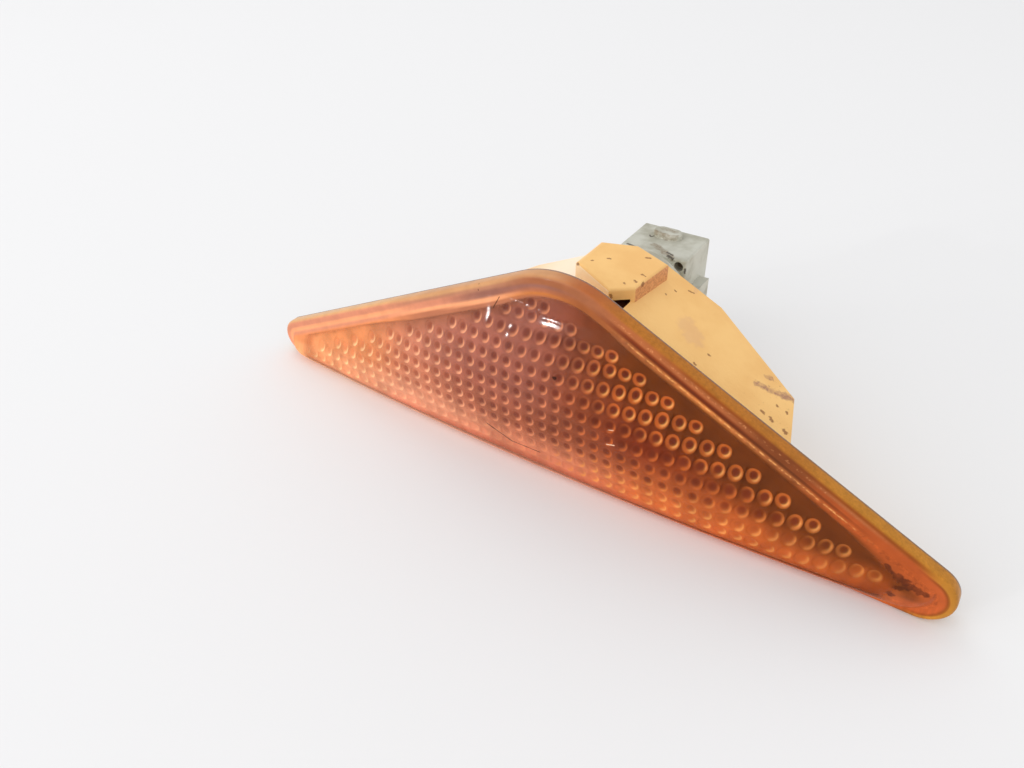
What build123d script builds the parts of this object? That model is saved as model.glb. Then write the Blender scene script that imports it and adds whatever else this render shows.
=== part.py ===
"""Side repeater lamp: amber triangular lens, moulded case, bulb holder with plug shroud, wedge bulb.

Frame: Y = 0 is the seat plane behind the lens rim, the lens faces -Y, X runs along the lens and +Z is up.
X = 0 is the bulb axis, and Z = 0 is the middle of the seat strip under the bulb.
"""
import math
import os

from build123d import *

os.makedirs("parts", exist_ok=True)

# Lens outline
lens_rise = 38.1            # bottom edge to the point where the two upper edges would meet
edge_angle = 25.9           # slope of both upper edges, degrees
left_tip_radius = 3.9
right_tip_radius = 4.65
peak_radius = 17.0
seat_width = 3.0            # bare strip behind the upper rim that sits on the body panel
base_seat_width = 1.8       # the same strip along the bottom edge
rim_thickness = 2.3
rim_edge_radius = 0.7

# Lens dome and its hollow
dome_height = 7.45          # crest of the dome in front of the seat plane
dome_plan_radius = 700.0
dome_section_radius = 36.0
dome_crest_rise = 12.1      # crest above the bottom edge
dome_crest_x = -10.0        # crest beside the bulb axis
dome_inset = 1.0
dome_base_inset = 0.2
dome_edge_radius = 1.8
shoulder_angle = 27.0       # slope of the dome's shoulders along the two upper edges
shoulder_foot = 1.8         # height of the shoulders' feet, hidden in the rim
lens_wall = 2.2
weld_land = 1.2             # strip of lens back that the case is welded to
rebate = 0.6                # step in the lens back that the case's plate sits in
facet_width = 32.0          # width of the hollow's flat facets along the lens
plan_facets = (-1.5, -0.5, 0.5, 1.5)
section_facets = (-10, 6, 22, 38)
overcut = 2.0               # how far a cut runs past the face it opens
bump_pitch = 2.4
bump_radius = 1.1           # to the corners of each six-sided bump
bump_height = 0.7
bump_left_margin = 4.9      # least distance from a bump's centre to each edge of the rim
bump_right_margin = 7.7
bump_base_margin = 3.5
bump_shift = -0.5           # the columns stand this far from the bulb axis

# Case behind the lens
bulb_rise = 18.1            # bulb axis above the bottom edge
case_wall = 2.0
case_plate = 2.2
case_depth = 20.5
case_left_inset = 6.0
case_right_inset = 4.0
case_base_inset = 3.2
case_mouth_half = 37.4      # half lengths of the case at the seat, at its ends' depth and at its back
case_end_half = 33.3
case_end_depth = 13.6
case_back_half = 17.6
ridge_radius = 12.0
corner_radius = 1.5

# Latch tongue on the ridge and fixed hook under the case
latch_left = -2.5
latch_right = 8.1
latch_splay = 0.9           # tongue's right side farther out at its back end
latch_front = 4.4
latch_set = 1.5             # tongue's back end in front of the case's back
latch_nose_x = 5.2
latch_heel_x = 2.7
latch_shoulder = 3.3
latch_thickness = 1.9
latch_rise = 33.9           # tongue's top above the bottom edge, at its left side
latch_tilt = 8.8
latch_slot_back = 8.2
latch_slot_cut = 1.3
latch_slot_side = 2.4       # slot's right end beside the nose
latch_edge_radius = 0.5
hook_half = 8.0
hook_front = 4.0
hook_back = 16.5
hook_lip = 2.2
hook_rib = 2.0

# Neck of the case, seal ring and bulb holder
neck_outer_radius = 9.6
neck_bore_radius = 7.4
neck_length = 3.5
drum_clearance = 0.3
lug_reach = 1.3
lug_half_width = 2.0
lug_length = 1.5
lug_clearance = 0.3
seal_thickness = 1.2
seal_inset = 0.3
flange_radius = 9.8
flange_thickness = 2.2
shroud_half_width = 6.65
shroud_shift = -0.35        # middle of the shroud beside the bulb axis
shroud_top = 7.0            # above the bulb axis
shroud_bottom = 6.0         # below the bulb axis
shroud_set = 4.4            # shroud's front behind the flange
shroud_length = 10.7
shroud_wall = 1.8
shroud_edge_radius = 0.4
core_radius = 5.4           # round core between the flange and the shroud
wing_reach = 1.9
wing_top = 0.6
wing_bottom = 5.0
wing_back = 3.2             # wings' ends in front of the shroud's end
lock_length = 5.6
lock_width = 3.2
lock_height = 1.1
lock_edge_radius = 0.4
lock_x = -0.8
lock_back = 3.3             # middle of the lock bump in front of the shroud's end
recess_radius = 0.9         # round recess in the shroud's front
recess_depth = 1.2
recess_set = 1.4            # its middle from the shroud's right and top faces

# Wedge bulb and its contacts
glass_radius = 5.0
glass_wall = 0.8
bulb_length = 26.6
wedge_width = 9.4
wedge_thickness = 2.3
wedge_length = 8.2
wedge_reach = 4.2           # wedge's end behind the case's back
wire_radius = 0.25
wire_bend = 0.7
wire_spacing = 2.4          # each wire's distance from the bulb axis
filament_set = 7.4          # filament behind the bulb's tip
filament_half = 1.6
filament_radius = 0.3
terminal_width = 2.0
terminal_thickness = 0.5
pin_width = 2.3
pin_thickness = 0.8
pin_recess = 4.5            # pins' ends in front of the shroud's end
pocket_clearance = 0.2

# Places worked out from those
base_z = -base_seat_width / 2
peak_z = base_z + lens_rise
bulb_z = base_z + bulb_rise
crest_z = base_z + dome_crest_rise
slope = math.tan(math.radians(edge_angle))
slope_sin = math.sin(math.radians(edge_angle))
slope_cos = math.cos(math.radians(edge_angle))
hollow_inset = seat_width + weld_land
hollow_base_inset = base_seat_width + weld_land
neck_end = case_depth + neck_length
flange_front = neck_end + seal_thickness
flange_back = flange_front + flange_thickness
shroud_front = flange_back + shroud_set
shroud_end = shroud_front + shroud_length
shroud_left = shroud_shift - shroud_half_width
shroud_right = shroud_shift + shroud_half_width
drum_radius = neck_bore_radius - drum_clearance
latch_back = case_depth - latch_set
wedge_end = case_depth + wedge_reach
glass_back = wedge_end - wedge_length
glass_tip = wedge_end - bulb_length
filament_y = glass_tip + filament_set
pin_end = shroud_end - pin_recess
pocket_back = wedge_end + 2 * wire_bend
riser_back = pocket_back + 2 * terminal_thickness
contact_z = wedge_thickness / 2 + 2 * wire_radius
bulb_axis = Axis((0, 0, bulb_z), (0, 1, 0))


def at(depth):
    """Sketch plane at a depth behind the seat: local x is X, local y is Z, negative extrusions run back."""
    return Plane.XZ.offset(-depth)


def edge_distances(x, z):
    """Distances from a point of the lens to the left and right edges of the rim."""
    drop = (peak_z - z) * slope_cos
    return drop + x * slope_sin, drop - x * slope_sin


def rounded_triangle(left_inset, right_inset, base_inset, peak_round, tip_inset):
    """Lens outline with its edges moved inwards; drawn in the sketch that is open."""
    low = base_z + base_inset
    left_peak = peak_z - left_inset / slope_cos
    right_peak = peak_z - right_inset / slope_cos
    peak = ((left_inset - right_inset) / (2 * slope_sin), (left_peak + right_peak) / 2)
    left_tip = ((low - left_peak) / slope, low)
    right_tip = ((right_peak - low) / slope, low)
    with BuildSketch(mode=Mode.PRIVATE) as outline:
        with BuildLine():
            Polyline(left_tip, right_tip, peak, close=True)
        make_face()
        fillet(outline.vertices().sort_by(Axis.Y)[-1], peak_round)
        fillet(outline.vertices().sort_by(Axis.X)[0], max(left_tip_radius - tip_inset, corner_radius))
        fillet(outline.vertices().sort_by(Axis.X)[-1], max(right_tip_radius - tip_inset, corner_radius))
    add(outline.sketch)


def lens_outline(inset, base_inset, tip_inset):
    """Lens outline with both upper edges moved inwards alike."""
    rounded_triangle(inset, inset, base_inset, peak_radius - inset, tip_inset)


def dome_plane(wall, plan_facet, section_facet):
    """Plane that touches the dome's surface from inside, at a wall's thickness below it."""
    across = plan_facet * facet_width / dome_plan_radius
    along = math.radians(section_facet)
    normal = Vector(
        math.cos(along) * math.sin(across), -math.cos(along) * math.cos(across), math.sin(along)
    )
    ring = dome_plan_radius - dome_section_radius
    middle = Vector(
        dome_crest_x + ring * math.sin(across),
        dome_plan_radius - dome_height - ring * math.cos(across),
        crest_z,
    )
    return Plane(middle + normal * (dome_section_radius - wall), z_dir=normal)


def shoulder_plane(side, wall):
    """Sloping shoulder of the dome along an upper edge: side is -1 on the left, 1 on the right."""
    tilt = math.radians(shoulder_angle)
    outward = Vector(side * slope_sin, 0, slope_cos)
    normal = outward * math.sin(tilt) + Vector(0, -math.cos(tilt), 0)
    foot = Vector(0, -shoulder_foot, peak_z) - Vector(0, 0, dome_inset / slope_cos)
    return Plane(foot - normal * wall, z_dir=normal)


def hollow_core(wall):
    """Inside of the lens, with flat facets that follow the dome and its shoulders."""
    with BuildPart() as core:
        with BuildSketch(at(overcut)):
            lens_outline(hollow_inset, hollow_base_inset, hollow_inset)
        extrude(amount=dome_height + overcut)
        for plan_facet in plan_facets:
            for section_facet in section_facets:
                split(bisect_by=dome_plane(wall, plan_facet, section_facet), keep=Keep.BOTTOM)
        for side in (-1, 1):
            split(bisect_by=shoulder_plane(side, wall), keep=Keep.BOTTOM)
    return core.part


def bump_places():
    """Square lattice of bump centres that stay clear of the lens edges."""
    places = []
    columns = int(lens_rise / slope / bump_pitch)
    rows = int(lens_rise / bump_pitch)
    for row in range(rows):
        z = base_z + bump_base_margin + row * bump_pitch
        for column in range(-columns, columns + 1):
            x = bump_shift + column * bump_pitch
            left, right = edge_distances(x, z)
            if left >= bump_left_margin and right >= bump_right_margin:
                places.append((x, z))
    return places


def case_box(skin):
    """Roofed case behind the lens, with each face but the open front moved inwards by skin."""
    front = case_wall + rebate
    lead_in = front * (case_mouth_half - case_end_half) / case_end_depth
    half_plan = [
        (case_mouth_half + lead_in, -front),
        (case_end_half, case_end_depth),
        (case_back_half, case_depth),
    ]
    with BuildPart() as box:
        with BuildSketch(at(-rebate)):
            rounded_triangle(
                case_left_inset + skin,
                case_right_inset + skin,
                case_base_inset + skin,
                ridge_radius - skin,
                case_left_inset,
            )
        extrude(amount=-(rebate + case_depth))
        with BuildSketch(Plane.XY.offset(base_z)):
            with BuildLine():
                Polyline(*half_plan, *[(-x, y) for x, y in reversed(half_plan)], close=True)
            make_face()
            if skin:
                offset(amount=-skin, kind=Kind.INTERSECTION, mode=Mode.REPLACE)
        extrude(amount=lens_rise, mode=Mode.INTERSECT)
    return box.part


# Amber lens: rim, dome, a hollow with rows of bumps left standing on its front, and a rebate
with BuildPart() as dome:
    with BuildSketch(at(dome_height)):
        lens_outline(dome_inset, dome_base_inset, 0)
    extrude(amount=3 * dome_height)
    with Locations((dome_crest_x, dome_plan_radius - dome_height, crest_z)):
        Torus(dome_plan_radius - dome_section_radius, dome_section_radius, mode=Mode.INTERSECT)
    fillet(dome.faces().filter_by(GeomType.TORUS).edges(), dome_edge_radius)
    for side in (-1, 1):
        split(bisect_by=shoulder_plane(side, 0), keep=Keep.BOTTOM)
    split(bisect_by=Plane.XZ, keep=Keep.TOP)

with BuildPart() as hollow:
    add(hollow_core(lens_wall))
    with BuildSketch(at(overcut)):
        with Locations(*bump_places()):
            RegularPolygon(bump_radius, 6)
    extrude(amount=dome_height + overcut, mode=Mode.SUBTRACT)
    add(hollow_core(lens_wall + bump_height))

with BuildPart() as lens:
    with BuildSketch(at(0)):
        lens_outline(0, 0, 0)
    extrude(amount=rim_thickness)
    fillet(lens.faces().sort_by(Axis.Y)[0].edges(), rim_edge_radius)
    add(dome.part)
    add(hollow.part, mode=Mode.SUBTRACT)
    with BuildSketch(at(0)):
        lens_outline(seat_width, base_seat_width, seat_width)
    extrude(amount=rebate, mode=Mode.SUBTRACT)
lens.part.label = "lens"
export_step(lens.part, "parts/lens.step")

# Latch tongue on the ridge: a six-sided plate with a slot under its nose for the panel's edge
latch_top = Plane((latch_left, 0, base_z + latch_rise), z_dir=Vector(0, 0, 1).rotate(Axis.Y, latch_tilt))
latch_under = latch_top.offset(-latch_thickness)
slot_floor = Plane(
    (0, 0, peak_z - (case_right_inset + latch_slot_cut) / slope_cos), z_dir=(slope_sin, 0, slope_cos)
)
with BuildPart() as latch_slot:
    with BuildSketch(Plane.XY.offset(bulb_z)):
        with Locations((latch_nose_x + latch_slot_side, latch_slot_back)):
            Rectangle(
                2 * (latch_right - latch_left),
                latch_slot_back - case_plate,
                align=(Align.MAX, Align.MAX),
            )
    extrude(amount=lens_rise)
    split(bisect_by=latch_under, keep=Keep.BOTTOM)
    split(bisect_by=slot_floor, keep=Keep.TOP)

with BuildPart() as latch:
    with BuildSketch(Plane.XY.offset(bulb_z)):
        with BuildLine():
            Polyline(
                (latch_left, latch_front + latch_shoulder),
                (latch_nose_x, latch_front),
                (latch_right, latch_front + latch_shoulder),
                (latch_right + latch_splay, latch_back - latch_shoulder / 2),
                (latch_heel_x, latch_back),
                (latch_left, latch_back - latch_shoulder),
                close=True,
            )
        make_face()
    extrude(amount=lens_rise)
    split(bisect_by=latch_top, keep=Keep.BOTTOM)
    fillet(latch.faces().sort_by(Axis.Z)[-1].edges(), latch_edge_radius)

# Case: base plate welded to the lens, roofed box, latch, neck for the bulb holder and fixed hook
with BuildPart() as housing:
    with BuildSketch(at(-rebate)):
        lens_outline(seat_width, base_seat_width, seat_width)
    extrude(amount=-(rebate + case_plate))
    add(case_box(0))
    add(latch.part)
    with BuildSketch(at(case_depth)):
        with Locations((0, bulb_z)):
            Circle(neck_outer_radius)
    extrude(amount=-neck_length)
    with BuildSketch(Plane.XY.offset(base_z)):
        with Locations((0, hook_front)):
            Rectangle(2 * hook_half, hook_lip, align=(Align.CENTER, Align.MIN))
        with Locations((hook_rib / 2 - hook_half, hook_front), (hook_half - hook_rib / 2, hook_front)):
            Rectangle(hook_rib, hook_back - hook_front, align=(Align.CENTER, Align.MIN))
    extrude(amount=case_base_inset)
    add(case_box(case_wall), mode=Mode.SUBTRACT)
    add(latch_slot.part, mode=Mode.SUBTRACT)
    with BuildSketch(at(case_depth - case_wall)):
        with Locations((0, bulb_z)):
            Circle(neck_bore_radius)
            Rectangle(
                2 * (drum_radius + lug_reach + lug_clearance),
                2 * (lug_half_width + lug_clearance),
                rotation=45,
            )
    extrude(amount=-(case_wall + neck_length), mode=Mode.SUBTRACT)
housing.part.label = "housing"
export_step(housing.part, "parts/housing.step")

# Rubber ring between the neck and the holder's flange
with BuildPart() as holder_seal:
    with BuildSketch(at(neck_end)):
        with Locations((0, bulb_z)):
            Circle(neck_outer_radius - seal_inset)
            Circle(neck_bore_radius + seal_inset, mode=Mode.SUBTRACT)
    extrude(amount=-seal_thickness)
holder_seal.part.label = "holder_seal"
export_step(holder_seal.part, "parts/holder_seal.step")


def block(x_span, y_span, z_span, mode=Mode.ADD):
    """Box between two limits along each axis, with its heights counted from the bulb axis."""
    with Locations((x_span[0], y_span[0], bulb_z + z_span[0])):
        Box(
            x_span[1] - x_span[0],
            y_span[1] - y_span[0],
            z_span[1] - z_span[0],
            align=(Align.MIN, Align.MIN, Align.MIN),
            mode=mode,
        )


def contact_strip(side):
    """Brass strip from the wedge's face to its plug pin: side is -1 on the left, 1 on the right."""
    x = side * wire_spacing
    leg = (x - terminal_width / 2, x + terminal_width / 2)
    reach = sorted((-side * contact_z, -side * (contact_z + terminal_thickness)))
    riser = sorted((side * pin_thickness / 2, -side * (contact_z + terminal_thickness)))
    with BuildPart() as strip:
        block(leg, (glass_back + terminal_thickness, riser_back), reach)
        block(leg, (riser_back - terminal_thickness, riser_back), riser)
        pin = (x - pin_width / 2, x + pin_width / 2)
        block(pin, (riser_back - terminal_thickness, pin_end), (-pin_thickness / 2, pin_thickness / 2))
    return strip.part


# Brass contacts
for side, name in ((-1, "terminal_left"), (1, "terminal_right")):
    strip = contact_strip(side)
    strip.label = name
    export_step(strip, f"parts/{name}.step")

# Plug shroud before it is hollowed
with BuildPart() as shroud:
    block((shroud_left, shroud_right), (shroud_front, shroud_end), (-shroud_bottom, shroud_top))
    fillet(shroud.edges(), shroud_edge_radius)

# Bulb holder: drum with lugs, flange, core, plug shroud with wings, lock bump and recess
with BuildPart() as bulb_holder:
    with BuildSketch(at(glass_back)):
        with Locations((0, bulb_z)):
            Circle(drum_radius)
    extrude(amount=-(flange_front - glass_back))
    lug_back = case_depth - case_wall - lug_clearance
    lug_half = drum_radius + lug_reach
    block((-lug_half, lug_half), (lug_back - lug_length, lug_back), (-lug_half_width, lug_half_width))
    with BuildSketch(at(flange_front)):
        with Locations((0, bulb_z)):
            Circle(flange_radius)
    extrude(amount=-flange_thickness)
    with BuildSketch(at(flange_back)):
        with Locations((0, bulb_z)):
            Circle(core_radius)
    extrude(amount=-(shroud_set + shroud_edge_radius))
    add(shroud.part)
    wing_x = (shroud_left - wing_reach, shroud_right + wing_reach)
    block(wing_x, (flange_back, shroud_end - wing_back), (-wing_bottom, wing_top))
    with BuildSketch(Plane.XY.offset(bulb_z + shroud_top)):
        with Locations((lock_x, shroud_end - lock_back)):
            SlotOverall(lock_length, lock_width)
    extrude(amount=lock_height)
    fillet(bulb_holder.faces().sort_by(Axis.Z)[-1].edges(), lock_edge_radius)
    plug_x = (shroud_left + shroud_wall, shroud_right - shroud_wall)
    plug_z = (shroud_wall - shroud_bottom, shroud_top - shroud_wall)
    block(plug_x, (shroud_front + shroud_wall, shroud_end), plug_z, Mode.SUBTRACT)
    pocket_x = wedge_width / 2 + pocket_clearance
    pocket_z = contact_z + terminal_thickness
    block((-pocket_x, pocket_x), (glass_back, pocket_back), (-pocket_z, pocket_z), Mode.SUBTRACT)
    add(contact_strip(-1), mode=Mode.SUBTRACT)
    add(contact_strip(1), mode=Mode.SUBTRACT)
    with BuildSketch(at(shroud_front)):
        with Locations((shroud_right - recess_set, bulb_z + shroud_top - recess_set)):
            Circle(recess_radius)
    extrude(amount=-recess_depth, mode=Mode.SUBTRACT)
bulb_holder.part.label = "bulb_holder"
export_step(bulb_holder.part, "parts/bulb_holder.step")


def lead_wire(side):
    """Bulb wire from the filament through the wedge, folded over its end."""
    x = side * wire_spacing
    fold_y = wedge_end + wire_bend
    fold_z = -side * (wedge_thickness / 2 + wire_radius)
    route = [
        (side * filament_half, filament_y, bulb_z),
        (x, glass_back - 2 * glass_wall, bulb_z),
        (x, fold_y, bulb_z),
        (x, fold_y, bulb_z + fold_z),
        (x, wedge_end - wedge_length / 2, bulb_z + fold_z),
    ]
    with BuildPart() as wire:
        with BuildLine() as path:
            FilletPolyline(*route, radius=abs(fold_z) / 2 - wire_radius / 10)
        with BuildSketch(Plane(path.line @ 0, z_dir=path.line % 0)):
            Circle(wire_radius)
        sweep()
    return wire.part


# Wedge bulb: hollow envelope, wires and filament
for side, name in ((-1, "lead_wire_left"), (1, "lead_wire_right")):
    wire = lead_wire(side)
    wire.label = name
    export_step(wire, f"parts/{name}.step")

with BuildPart() as bulb_glass:
    for skin, mode in ((0, Mode.ADD), (glass_wall, Mode.SUBTRACT)):
        radius = glass_radius - skin
        shoulder = glass_back - glass_radius / 2
        with BuildSketch(Plane.XY.offset(bulb_z)):
            with BuildLine():
                tip = Line((0, glass_back - 2 * skin), (0, glass_tip + skin))
                crown = RadiusArc(tip @ 1, (radius, glass_tip + glass_radius), -radius)
                tube = Line(crown @ 1, (radius, shoulder))
                Polyline(tube @ 1, (radius / 2, glass_back - 2 * skin), tip @ 0)
            make_face()
        revolve(axis=bulb_axis, mode=mode)
    half_wedge = (wedge_width / 2, wedge_thickness / 2)
    block(
        (-half_wedge[0], half_wedge[0]),
        (glass_back - glass_wall, wedge_end),
        (-half_wedge[1], half_wedge[1]),
    )
    add(lead_wire(-1), mode=Mode.SUBTRACT)
    add(lead_wire(1), mode=Mode.SUBTRACT)
bulb_glass.part.label = "bulb_glass"
export_step(bulb_glass.part, "parts/bulb_glass.step")

with BuildPart() as filament:
    with Locations(Plane((0, filament_y - filament_radius, bulb_z), z_dir=(1, 0, 0))):
        Cylinder(filament_radius, 2 * (filament_half + wire_radius))
filament.part.label = "filament"
export_step(filament.part, "parts/filament.step")
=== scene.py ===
"""Side repeater lamp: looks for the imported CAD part, in metres and in its own frame."""

import math

import bmesh
import bpy
from mathutils import Matrix, Vector


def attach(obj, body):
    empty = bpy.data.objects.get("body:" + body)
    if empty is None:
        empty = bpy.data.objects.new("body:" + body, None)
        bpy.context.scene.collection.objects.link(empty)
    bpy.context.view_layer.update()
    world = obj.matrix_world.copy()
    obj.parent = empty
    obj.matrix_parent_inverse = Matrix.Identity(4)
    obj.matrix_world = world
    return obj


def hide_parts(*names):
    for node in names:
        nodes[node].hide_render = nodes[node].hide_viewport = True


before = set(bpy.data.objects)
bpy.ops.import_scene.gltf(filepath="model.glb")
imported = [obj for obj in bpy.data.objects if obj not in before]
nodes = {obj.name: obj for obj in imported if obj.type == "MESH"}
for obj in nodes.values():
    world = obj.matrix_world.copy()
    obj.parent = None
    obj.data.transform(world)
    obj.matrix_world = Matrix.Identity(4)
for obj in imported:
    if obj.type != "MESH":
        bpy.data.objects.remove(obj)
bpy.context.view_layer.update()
scene = bpy.context.scene
MM = 0.001

# Sizes of the lens, in millimetres, as in the part's source
BASE_Z = -0.9
PEAK_Z = 37.2
EDGE = math.radians(25.9)
LEFT_TIP, RIGHT_TIP, PEAK_ROUND = 3.9, 4.65, 17.0
RIM, RIM_ROUND = 2.3, 0.7
DOME_HEIGHT, DOME_PLAN, DOME_SECTION = 7.45, 700.0, 36.0
CREST_X, CREST_Z = -10.0, 11.2
DOME_INSET, DOME_BASE_INSET, DOME_ROUND = 1.0, 0.2, 1.8
SHOULDER, SHOULDER_FOOT = math.radians(27.0), 1.8
SEAT, BASE_SEAT, REBATE = 3.0, 1.8, 0.6
PITCH, BUMP_RADIUS, BUMP_HEIGHT = 2.4, 1.06, 0.45
BUMP_LEFT, BUMP_RIGHT, BUMP_BASE, BUMP_SHIFT = 4.9, 7.7, 3.5, -0.5
BULB_Z = 17.2
SIN, COS, TAN = math.sin(EDGE), math.cos(EDGE), math.tan(EDGE)


def srgb(r, g, b):
    """Linear colour of an sRGB one with channels from 0 to 255."""
    def linear(c):
        c /= 255.0
        return c / 12.92 if c <= 0.04045 else ((c + 0.055) / 1.055) ** 2.4
    return (linear(r), linear(g), linear(b))


def mix(a, b, t):
    t = min(max(t, 0.0), 1.0)
    return tuple(p + (q - p) * t for p, q in zip(a, b))


def step(low, high, v):
    t = min(max((v - low) / (high - low), 0.0), 1.0)
    return t * t * (3 - 2 * t)


def along(stops, v):
    """Value at v on a line of (place, value) stops."""
    if v <= stops[0][0]:
        return stops[0][1]
    for (a, one), (b, two) in zip(stops, stops[1:]):
        if v <= b:
            return mix(one, two, step(a, b, v))
    return stops[-1][1]


class Outline:
    """Rounded triangle in X and Z, with its upper edges and its base moved inwards."""

    def __init__(self, inset, base_inset, left, right, peak):
        low = BASE_Z + base_inset
        top = PEAK_Z - inset / COS
        self.low, self.top = low, top
        reach = (top - low) / TAN
        half = EDGE / 2
        gap = 1 / math.tan(half)
        self.corners = [
            ((-reach + left * gap, low + left), left, ((1.0, 0.0), (COS, SIN))),
            ((reach - right * gap, low + right), right, ((-1.0, 0.0), (-COS, SIN))),
            ((0.0, top - peak / COS), peak, ((-COS, -SIN), (COS, -SIN))),
        ]

    def distance(self, x, z):
        """Distance inwards from the outline, negative outside it."""
        for (cx, cz), radius, (one, two) in self.corners:
            px, pz = x - cx, z - cz
            if px * one[0] + pz * one[1] < 0 and px * two[0] + pz * two[1] < 0:
                return radius - math.hypot(px, pz)
        drop = (self.top - z) * COS
        return min(drop + x * SIN, drop - x * SIN, z - self.low)

    def points(self, spacing):
        """Points round the outline, anticlockwise seen from the front, from the base's left end."""
        (lx, lz), lr, _ = self.corners[0]
        (rx, rz), rr, _ = self.corners[1]
        (px, pz), pr, _ = self.corners[2]
        places = []

        def line(a, b):
            count = max(2, int(math.dist(a, b) / spacing))
            places.extend(
                (a[0] + (b[0] - a[0]) * i / count, a[1] + (b[1] - a[1]) * i / count)
                for i in range(count)
            )

        def arc(cx, cz, radius, start, end):
            count = max(10, int(abs(end - start) * radius / (spacing * 0.45)))
            places.extend(
                (cx + radius * math.cos(start + (end - start) * i / count),
                 cz + radius * math.sin(start + (end - start) * i / count))
                for i in range(count)
            )

        right_up, left_up = math.pi / 2 - EDGE, math.pi / 2 + EDGE
        line((lx, self.low), (rx, self.low))
        arc(rx, rz, rr, -math.pi / 2, right_up)
        line((rx + rr * math.cos(right_up), rz + rr * math.sin(right_up)),
             (px + pr * math.cos(right_up), pz + pr * math.sin(right_up)))
        arc(px, pz, pr, right_up, left_up)
        line((px + pr * math.cos(left_up), pz + pr * math.sin(left_up)),
             (lx + lr * math.cos(left_up), lz + lr * math.sin(left_up)))
        arc(lx, lz, lr, left_up, 1.5 * math.pi)
        return places


INNER_INSET = 2.6
rim_line = Outline(0, 0, LEFT_TIP, RIGHT_TIP, PEAK_ROUND)
dome_line = Outline(DOME_INSET, DOME_BASE_INSET, LEFT_TIP, RIGHT_TIP, PEAK_ROUND - DOME_INSET)
seat_line = Outline(SEAT, BASE_SEAT, 1.5, RIGHT_TIP - SEAT, PEAK_ROUND - SEAT)
inner_line = Outline(INNER_INSET, 0.8, 3.4, 4.0, PEAK_ROUND - INNER_INSET)


def rounding(radius, d):
    """How far a rounded edge lies below its flat, at a distance in from the side."""
    if d >= radius:
        return 0.0
    return radius - math.sqrt(max(radius * radius - (radius - d) ** 2, 0.0))


def soft_min(a, b, width):
    t = max(width - abs(a - b), 0.0) / width
    return min(a, b) - t * t * width / 4


def edge_parts(x, z):
    """Distances to the left, right and bottom edges."""
    drop = (PEAK_Z - z) * COS
    return drop + x * SIN, drop - x * SIN, z - BASE_Z


def dome_top(x, z, edge_drop):
    """Height of the dome in front of the seat."""
    across, up = x - CREST_X, z - CREST_Z
    ring = DOME_PLAN - DOME_SECTION
    reach = ring + math.sqrt(max(DOME_SECTION ** 2 - up * up, 0.0))
    height = math.sqrt(reach * reach - across * across) - DOME_PLAN + DOME_HEIGHT - edge_drop
    for drop in edge_parts(x, z)[:2]:
        height = soft_min(height, SHOULDER_FOOT + math.tan(SHOULDER) * (drop - DOME_INSET), 0.7)
    return height


def front_height(x, z):
    """Height of the lens front over the seat plane."""
    d = rim_line.distance(x, z)
    height = RIM - rounding(RIM_ROUND, max(d, 0.0))
    inner = dome_line.distance(x, z)
    if inner > 0:
        height = max(height, dome_top(x, z, rounding(DOME_ROUND, inner)))
    return height


def inner_height(x, z):
    """Height of the inner face over the seat plane, as it looks through the lens."""
    left, right, _ = edge_parts(x, z)
    height = 5.9 - (z - BULB_Z + 6.0) ** 2 / 90
    height -= max(18.6 - right, 0.0) ** 2 / 24 + max(16.0 - left, 0.0) ** 2 / 80
    height = -soft_min(-height, -(0.8 + 0.35 * step(6.5, 8.5, right)), 0.4)
    return min(height, front_height(x, z) - 0.5)


def new_object(name, mesh):
    obj = bpy.data.objects.new(name, mesh)
    scene.collection.objects.link(obj)
    return obj


# Colours of the lens
OLIVE, OLIVE_TIP, DARK_EDGE = srgb(176, 110, 40), srgb(184, 122, 42), srgb(142, 70, 22)
RIM_AMBER, GROOVE, WELD = srgb(174, 98, 54), srgb(128, 54, 20), srgb(198, 117, 58)
WELD_DIM, BROWN, ORANGE = srgb(158, 88, 46), srgb(122, 62, 28), srgb(184, 87, 40)
SAND, SAND_TIP, TAN = srgb(200, 146, 100), srgb(216, 164, 110), srgb(184, 126, 96)
MAUVE, PEACH, ROSE = srgb(150, 98, 82), srgb(240, 160, 112), srgb(212, 136, 104)
CLAY, SALMON, UMBER = srgb(176, 106, 74), srgb(230, 140, 86), srgb(160, 96, 62)
# On the next line: the window colour is painted shade of the housing inside, the mauve tint is a painted
# reflection and the pale ring colour is a painted highlight
SHADED_WINDOW, SKY_REFLECTION, RING_HIGHLIGHT = srgb(115, 55, 16), srgb(172, 108, 98), srgb(252, 180, 98)
BACK_LINE, EMBER = srgb(92, 54, 20), srgb(173, 80, 34)

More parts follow.
